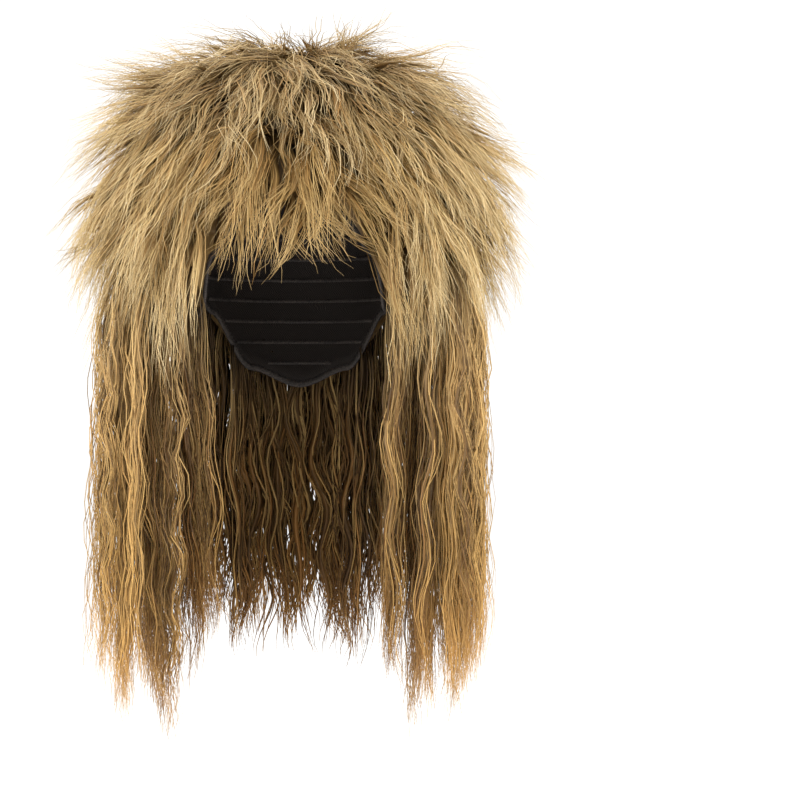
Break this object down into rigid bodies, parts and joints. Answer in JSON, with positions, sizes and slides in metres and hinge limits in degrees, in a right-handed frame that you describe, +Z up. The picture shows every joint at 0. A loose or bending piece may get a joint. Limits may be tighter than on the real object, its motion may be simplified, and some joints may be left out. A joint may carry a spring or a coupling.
{
  "type": "shaggy layered wig",
  "caption": "Long shaggy layered wig with a teased crown, flared side locks, wispy fringe and wavy lengths on a stretch cap, worn on the head.",
  "frame": {"origin": "the point where the crown of the head meets the inside of the cap", "axes": "+Z up, the face towards -Y, the wearer's left towards +X"},
  "size_m": [0.3607, 0.354, 0.5459],
  "materials": {
    "cap_net": "matt black stretch net with sewn weft tracks",
    "fringe_fibre": "soft sheen synthetic fibre, brown roots to honey ends",
    "crown_fibre": "soft sheen synthetic fibre, teased, dark roots to honey blonde",
    "wing_fibre": "soft sheen synthetic fibre, honey blonde with pale tips",
    "long_fibre": "soft sheen synthetic fibre, wavy, brown at the top to warm gold at the ends"
  },
  "bodies": {
    "root": {"wig_cap": "cap_net", "fringe": "fringe_fibre", "crown_locks": "crown_fibre", "left_wing_locks": "wing_fibre", "right_wing_locks": "wing_fibre", "back_shag_locks": "wing_fibre", "left_long_locks": "long_fibre", "right_long_locks": "long_fibre", "back_long_locks": "long_fibre"}
  },
  "joints": []
}
